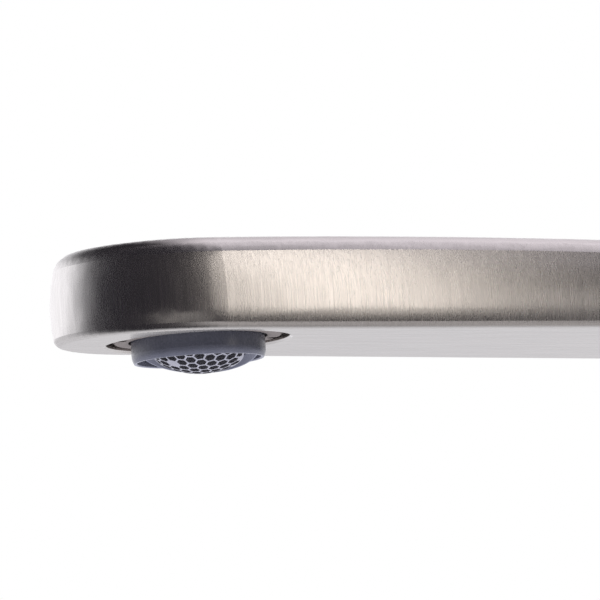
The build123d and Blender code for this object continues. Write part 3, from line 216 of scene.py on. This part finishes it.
# Materials, one for each material slot
materials = {
    "brushed_nickel": brushed_metal("brushed_nickel", nickel_tint),
    "valve_brass": moulded("valve_brass", (0.72, 0.53, 0.24), roughness=0.35, metallic=1.0),
    "zinc_steel": moulded("zinc_steel", (0.6, 0.62, 0.64), roughness=0.4, metallic=1.0),
    "stainless": moulded("stainless", (0.6, 0.6, 0.6), roughness=0.3, metallic=1.0),
    "black_rubber": moulded("black_rubber", (0.02, 0.02, 0.022), roughness=0.6),
    "grey_foam_rubber": moulded("grey_foam_rubber", (0.12, 0.125, 0.13), roughness=0.8),
    "fibre": moulded("fibre", (0.3, 0.06, 0.03), roughness=0.8),
    # The collar's near-black colour stands in for the shade in the recess round it: painted shade, darker
    # than the collar's own tone.
    "collar_plastic": moulded("collar_plastic", (0.055, 0.048, 0.046), roughness=0.6, specular=0.12),
    "ring_plastic": moulded("ring_plastic", (0.06, 0.062, 0.08), roughness=0.28),
    "honeycomb_plastic": moulded("honeycomb_plastic", (0.095, 0.095, 0.11), roughness=0.35),
    "clear_white_plastic": moulded("clear_white_plastic", (0.7, 0.6, 0.57), roughness=0.4),
    "cartridge_plastic": moulded("cartridge_plastic", (0.75, 0.75, 0.72), roughness=0.4),
    "spindle_metal": moulded("spindle_metal", (0.72, 0.6, 0.35), roughness=0.35, metallic=1.0),
    "alumina": moulded("alumina", (0.8, 0.8, 0.77), roughness=0.2),
    "plug_plastic": moulded("plug_plastic", (0.22, 0.215, 0.2), roughness=0.4),
}
for part in frame["record"]["subparts"]:
    node = frame["nodes"][part["node"]]
    node.data.materials.clear()
    node.data.materials.append(materials[part["material_slot"]])

# Floor, which doesn't show in glossy reflections
bpy.ops.mesh.primitive_plane_add(size=floor_size, location=(0, 0, floor_height))
floor = bpy.context.object
floor.name = "floor"
floor_paint = moulded("floor_paint", (0.8, 0.8, 0.8), roughness=0.6, speckle=floor_speckle_scale, bump=0.0)
floor.data.materials.append(floor_paint)
floor.visible_glossy = False

# Camera
yaw, rise, roll = radians(camera_yaw), radians(camera_rise), radians(camera_roll)
forward = Vector((-cos(yaw) * cos(rise), sin(yaw) * cos(rise), sin(rise)))
right = forward.cross(Vector((0, 0, 1))).normalized()
up = right.cross(forward)
rolled_right = right * cos(roll) - up * sin(roll)
rolled_up = right * sin(roll) + up * cos(roll)
camera_turn = Matrix((rolled_right, rolled_up, -forward)).transposed().to_4x4()
camera_data = bpy.data.cameras.new("camera")
camera_data.lens = camera_lens
camera_data.clip_start = camera_clip
camera = bpy.data.objects.new("camera", camera_data)
bpy.context.collection.objects.link(camera)
camera.matrix_world = Matrix.Translation(camera_place) @ camera_turn
bpy.context.scene.camera = camera

# World: a white backdrop behind and to the left, with a duller floor below it, a pale wall side, a pale
# panel high over the wall, a grey floor to the right, and a dark room round the camera. The camera itself
# sees plain white.
world = bpy.data.worlds.new("studio")
bpy.context.scene.world = world
world.use_nodes = True
tree = Tree(world.node_tree)
direction = tree.add("ShaderNodeTexCoord").outputs["Generated"]
upward = tree.vector("DOT_PRODUCT", direction, (0, 0, 1))


def facing(way, edge):
    """How much of a colour shows in a direction: none before its edge, all of it past the edge."""
    return tree.stretch(tree.vector("DOT_PRODUCT", direction, way), *edge)


backdrop = tree.math("MULTIPLY", facing(backdrop_way, backdrop_edge),
                     tree.stretch(upward, *backdrop_top, 1.0, 0.0))
backdrop = tree.math("MULTIPLY", backdrop, tree.stretch(upward, *floor_line, floor_share, 1.0))
right_floor = tree.math("MULTIPLY", facing(right_way, right_edge),
                        tree.stretch(upward, *right_floor_top, 1.0, 0.0))
colour = dark_room
for share, light_colour in (
    (right_floor, right_floor_grey),
    (backdrop, backdrop_white),
    (facing(wall_way, wall_edge), wall_white),
    (facing(panel_way, panel_edge), panel_white),
    (tree.add("ShaderNodeLightPath").outputs["Is Camera Ray"], seen_white),
):
    colour = tree.mix("RGBA", share, colour, light_colour)
background = tree.add("ShaderNodeBackground", inputs={"Color": colour, "Strength": 1.0})
tree.put(tree.add("ShaderNodeOutputWorld"), "Surface", background.outputs[0])


def softbox(name, place, target, width, height, power, tint):
    """A rectangular soft light that faces a point."""
    data = bpy.data.lights.new(name, "AREA")
    data.shape = "RECTANGLE"
    data.size = width
    data.size_y = height
    data.energy = power
    data.color = tint
    light = bpy.data.objects.new(name, data)
    bpy.context.collection.objects.link(light)
    aim = (Vector(target) - Vector(place)).normalized()
    light.matrix_world = Matrix.Translation(place) @ aim.to_track_quat("-Z", "Y").to_matrix().to_4x4()
    light.visible_camera = False
    return light


# The two lights that the near side of the spout mirrors
softbox("key", place=(0.057, -0.113, 0.028), target=(-0.033, -0.16, 0.008),
        width=0.024, height=0.075, power=0.0155, tint=warm)
softbox("low_strip", place=(0.15, -0.22, -0.03), target=(-0.04, -0.18, 0.0),
        width=0.14, height=0.015, power=0.002, tint=pale_warm)

# Two lights for the floor and the plastics, which don't show in the metal
sun = bpy.data.objects.new("sun", bpy.data.lights.new("sun", "SUN"))
sun.data.energy = sun_strength
sun.data.angle = radians(sun_spread)
bpy.context.collection.objects.link(sun)
under_light = softbox("under_light", place=(-0.04, -0.18, -0.11), target=(-0.048, -0.17, 0.0),
                      width=0.07, height=0.07, power=0.5, tint=cool)
for light in (sun, under_light):
    light.visible_glossy = False

# Two wide soft lights that reach the pieces at the wall alone
wall_pieces = bpy.data.collections.new("wall_pieces")
for name, node in frame["nodes"].items():
    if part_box(name)[0][1] > wall_reach:
        wall_pieces.objects.link(node)
for name, place in (("right_fill", (0.7, -0.45, 0.3)), ("left_fill", (-0.6, -0.5, 0.5))):
    fill = softbox(name, place, target=(0.0, 0.0, 0.0),
                   width=fill_size, height=fill_size, power=fill_power, tint=soft_white)
    fill.light_linking.receiver_collection = wall_pieces

bpy.context.scene.view_settings.view_transform = "Standard"
